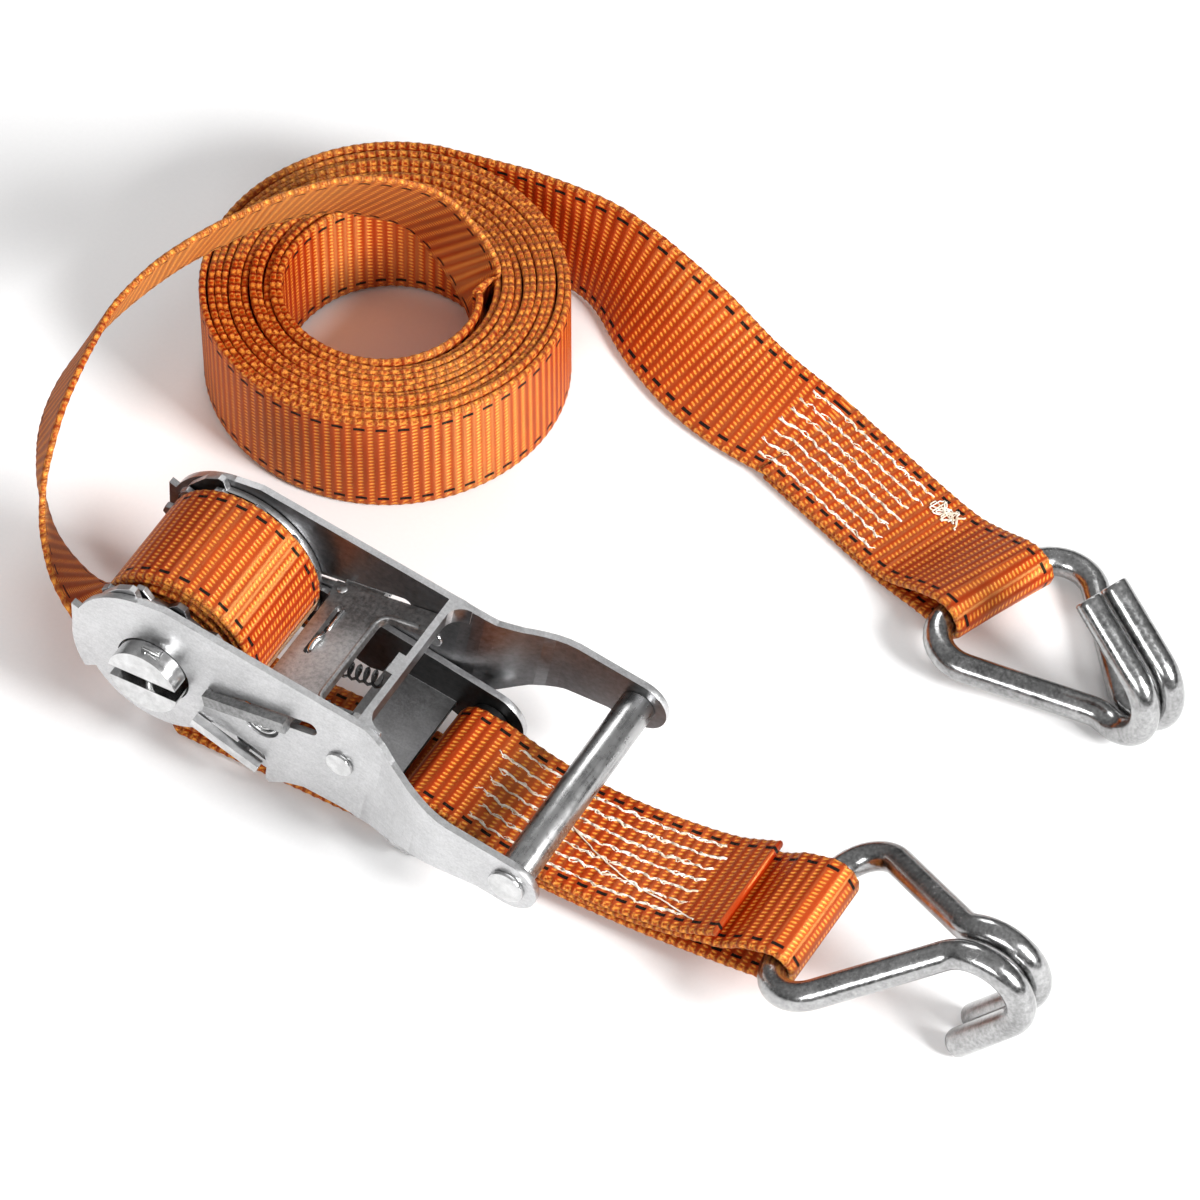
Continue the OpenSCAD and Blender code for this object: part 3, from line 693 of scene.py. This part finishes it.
def sewn_line(rows, start, stop, at, swing, pitch, face_sign, thick):
    """One line of sewing thread: slanted strokes of uneven height, some sunk out of sight."""
    count = int((stop - start) / pitch)
    knots = np.arange(count)
    side = at + swing * np.where(knots % 2 == 0, 1, -1) + RNG.normal(0, 0.25, count)
    fine = np.linspace(0, count - 1, (count - 1) * 6 + 1)
    high = RNG.uniform(0.22, 0.5, count) - 0.3 * (RNG.random(count) < 0.16)
    high = high[np.clip(fine.astype(int), 0, count - 1)]
    lift = high * np.abs(np.sin(math.pi * fine)) ** 0.7 - 0.22
    path = on_face(rows, start + fine * pitch, np.interp(fine, knots, side), lift, face_sign)
    return path, thick * np.interp(fine, knots, RNG.uniform(0.75, 1.3, count))


def loose_end(rows, knots, face_sign, thick):
    """A loose end of thread lying on a strap, through knots of millimetres along and across."""
    curve = smooth_route(np.array(knots, float), 10)
    lift = 0.15 + thick + 0.12 * np.sin(np.arange(len(curve)) * 0.5)
    return on_face(rows, curve[:, 0], curve[:, 1], lift, face_sign), np.full(len(curve), thick)


def make_stitches(name, node, rows, spans, loose, face_sign, material, body):
    """The lines of thread along a sewn part and their loose ends, joined into one piece."""
    threads, lines, spread = [], 7, 25.0
    for line in range(lines):
        at = (line / (lines - 1) - 0.5) * spread
        start, stop = spans[0] + RNG.uniform(-1.5, 1.5), spans[1] + RNG.uniform(-3, 3)
        threads.append(sewn_line(rows, start, stop, at, 0.3, 2.9, face_sign, 0.32))
        threads.append(sewn_line(rows, start, stop, at, 0.55, 2.1, face_sign, 0.17))
    threads += [loose_end(rows, knots, face_sign, 0.2) for knots in loose]
    points, faces, sides, base = [], [], 6, 0
    angle = np.linspace(0, 2 * math.pi, sides, endpoint=False)
    for route, radius in threads:
        ahead = unit(np.gradient(route, axis=0) + 1e-6)
        u = unit(np.cross(ahead, [0.1, 0.2, 1.0]))
        v = np.cross(ahead, u)
        ring = u[:, None] * np.cos(angle)[None, :, None] + v[:, None] * np.sin(angle)[None, :, None]
        points.append((route[:, None] + ring * radius[:, None, None]).reshape(-1, 3))
        faces += [[base + i for i in f] for f in tube_faces(len(route), sides)]
        base += len(points[-1])
    piece = new_piece(name, place(np.vstack(points)), faces, material, body)
    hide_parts(node)
    return piece


# ------------------------------------------------------------------ small steel details


def to_drive(points):
    """From the drive pawl's plane (along, across, above) to the table."""
    p = np.asarray(points, float)
    c, s = math.cos(DRIVE_SLOPE), math.sin(DRIVE_SLOPE)
    above = p[:, 2] - DRIVE_DROP
    return to_ratchet(np.stack([p[:, 0] * c - above * s, p[:, 1], p[:, 0] * s + above * c], 1))


def make_pawl_details(rim_material, wire_material):
    """The drive pawl's pressed rim round its window, spring wire in its slot, and a pressed dimple."""
    centre, rim_r, rim_end = np.array([49, -13]), 3.7, 57
    arc = np.radians(np.linspace(270, 180, 8))
    near = centre + rim_r * np.stack([np.cos(arc), np.sin(arc)], 1)
    rim = np.vstack([[[rim_end, -16.7]], near, near[::-1] * [1, -1], [[rim_end, 16.7]]])
    rim = np.hstack([rim, np.full((len(rim), 1), 0.8)])
    wire_piece("pawl_rim", to_drive(rim), 0.75, rim_material, "drive_pawl", sides=10)
    hook = smooth_route([
        [34.2, -2.2, -1.6], [34.0, -1.4, 0.6], [34.5, 0.8, 1.8],
        [35.1, 3.0, 1.6], [34.5, 4.6, 0.4], [34.0, 5.6, -1.6],
    ], 6)
    wire_piece("pawl_wire", to_drive(hook), 0.75, wire_material, "drive_pawl", sides=12)
    lip = smooth_route([[35.0, 6.2, 0.8], [35.3, 9, 1.3], [35.4, 13.8, 1.2]], 6)
    wire_piece("pawl_lip", to_drive(lip), 0.5, wire_material, "drive_pawl", sides=10)
    rise = np.linspace(-0.6, 0.95, 7)
    dimple = np.stack([np.full(7, 30.6), np.full(7, 20.6), 0.6 + rise], 1)
    dome = 1.7 * np.sqrt(1 - rise**2)
    wire_piece("pawl_dimple", to_drive(dimple), dome, rim_material, "drive_pawl", sides=16)


def make_spring(node, material):
    """A copy of a coil spring in the given material, riding on the spring node's body in place of the
    node."""
    source = frame["nodes"][node]
    piece = bpy.data.objects.new(node + "_skin", source.data.copy())
    bpy.context.scene.collection.objects.link(piece)
    piece.data.materials.clear()
    piece.data.materials.append(material)
    piece.data.shade_smooth()
    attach(piece, source["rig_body"])
    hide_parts(node)
    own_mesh(piece)


def make_window_arcs(material):
    """Two arcs of spring wire behind the half-round window of each handle side."""
    steps, plate_y, slot = 14, 24.1, SLOT_OF["handle_frame"]
    for side, label in ((-1, "near"), (1, "far")):
        for number, (radius, first, last) in enumerate(((4.3, 192, 350), (2.7, 200, 345))):
            ring = loop_over(*WINDOW_AT, radius, first, last, steps)
            path = to_ratchet(np.stack([ring[:, 0], np.full(steps, side * plate_y), ring[:, 1]], 1))
            wire_piece(f"window_arc_{label}_{number}", path, 0.5, material, "handle", 8)


# ------------------------------------------------------------------ build

make_camera()

make_floor()
make_world()
make_light("key", (1.0, -0.12, 0.62), (0.45, 0.45), 34)
make_light("front", (0.15, -1.0, 0.6), (0.7, 0.3), 9)
make_light("back", (-0.5, 0.8, 0.9), (0.5, 0.35), 4)

# The second colour is the painted shade in the rib grooves and at the edges, also spread by random tone;
# the third is the painted glint on the picks and edge beads.
orange = webbing_material(
    "webbing_orange", (0.4, 0.026, 0.001, 1), (0.2, 0.004, 0.0005, 1), (0.95, 0.4, 0.06, 1))
white = thread_material("thread_white", (0.9, 0.86, 0.76, 1), (0.62, 0.5, 0.36, 1))
plate = steel_material(
    "plated_sheet", (0.64, 0.64, 0.645, 1), (0.42, 0.42, 0.425, 1), (0.32, 0.42), (300, 700, 900), 1600)
# Darker copies of the plate for faces turned inward and the crossbar's back: painted shade, not another
# finish.
shaded = steel_material(
    "plated_painted_shade", (0.26, 0.26, 0.265, 1), (0.15, 0.15, 0.155, 1), (0.3, 0.42), (300, 700, 900), 700)
black = steel_material(
    "painted_shade_black", (0.09, 0.09, 0.09, 1), (0.04, 0.04, 0.04, 1), (0.35, 0.5), (300, 700, 900), 700)
inside_plate = steel_material(
    "pawl_sheet", (0.4, 0.4, 0.4, 1), (0.2, 0.2, 0.2, 1), (0.42, 0.55), (900, 900, 900), 900)
gear = steel_material(
    "gear_steel", (0.4, 0.4, 0.41, 1), (0.18, 0.18, 0.19, 1), (0.26, 0.45), (300, 300, 300))
bright = steel_material(
    "bright_zinc", (0.72, 0.72, 0.72, 1), (0.42, 0.42, 0.42, 1), (0.12, 0.26), (90, 90, 90), 420)
wire = steel_material(
    "hook_zinc", (0.46, 0.46, 0.46, 1), (0.16, 0.16, 0.16, 1), (0.14, 0.28), (160, 160, 160), 900)
tube = steel_material(
    "grip_brushed", (0.42, 0.42, 0.42, 1), (0.12, 0.12, 0.125, 1), (0.22, 0.36), (900, 60, 900), 300, 0.6)
dark = steel_material(
    "dark_oiled", (0.14, 0.14, 0.14, 1), (0.06, 0.06, 0.06, 1), (0.35, 0.5), (300, 300, 300))

METAL = {
    "base_frame": plate, "handle_frame": plate, "lock_pawl": bright, "drive_pawl": inside_plate,
    "grip_tube": tube, "grip_rivet": bright, "side_rivets": bright, "ratchet_wheel_near": gear,
    "ratchet_wheel_far": gear, "spindle_upper": bright, "spindle_lower": bright, "split_pins": bright,
    "anchor_bolt": bright, "anchor_nut": bright, "anchor_washers": bright, "anchor_sleeve": dark,
}
ROUNDING = {
    "spindle_upper": 0.6, "spindle_lower": 0.6, "grip_rivet": 0.5, "side_rivets": 0.4,
    "anchor_bolt": 0.8, "anchor_nut": 0.3, "lock_pawl": 0.35, "split_pins": 0.3,
}
# Painted shade on the frames' inward faces.
INNER_SHADE = {"base_frame": black, "handle_frame": shaded}
for node, material in METAL.items():
    refined(node, material, ROUNDING.get(node, 0.28), INNER_SHADE.get(node))

web_main, main_length, main_rows = make_main_strap(orange)
web_short, short_length, short_rows = make_short_strap(orange)
web_roll, roll_length = make_roll(orange)
web_flap, flap_length = make_flap(orange)

# Where each strap is sewn, and its loose end of thread, in millimetres along and across it
main_end = main_length * 1000
sewn_long = (main_end - 178, main_end - 126)
tangle = [
    (main_end - 128 + 3.0 * math.cos(2.1 * i) + 0.35 * i, 11.0 + 2.8 * math.sin(2.9 * i))
    for i in range(24)
]
sewn_short = (14, 84)
trailing = [(58, 1.5), (46, -3.5), (33, -8.0), (20, -10.5), (9, -14.0)]
stitch_long = make_stitches(
    "stitch_long", "stitching_long", main_rows, sewn_long, [tangle], 1, white, "ratchet_base")
stitch_short = make_stitches(
    "stitch_short", "stitching_short", short_rows, sewn_short, [trailing], -1, white, "short_strap")

make_pawl_details(inside_plate, bright)
make_spring("drive_pawl_spring", dark)
make_spring("lock_pawl_spring", dark)
make_window_arcs(bright)
make_hook("hook_short_wire", "hook_short", HOOK_SHORT, yaw=1, pitch=25, roll=0,
          throat_down=True, body="hook_a", material=wire)
make_hook("hook_long_wire", "hook_long", HOOK_LONG, yaw=LONG_YAW, pitch=-3.5, roll=LONG_ROLL,
          throat_down=False, body="hook_b", material=wire)
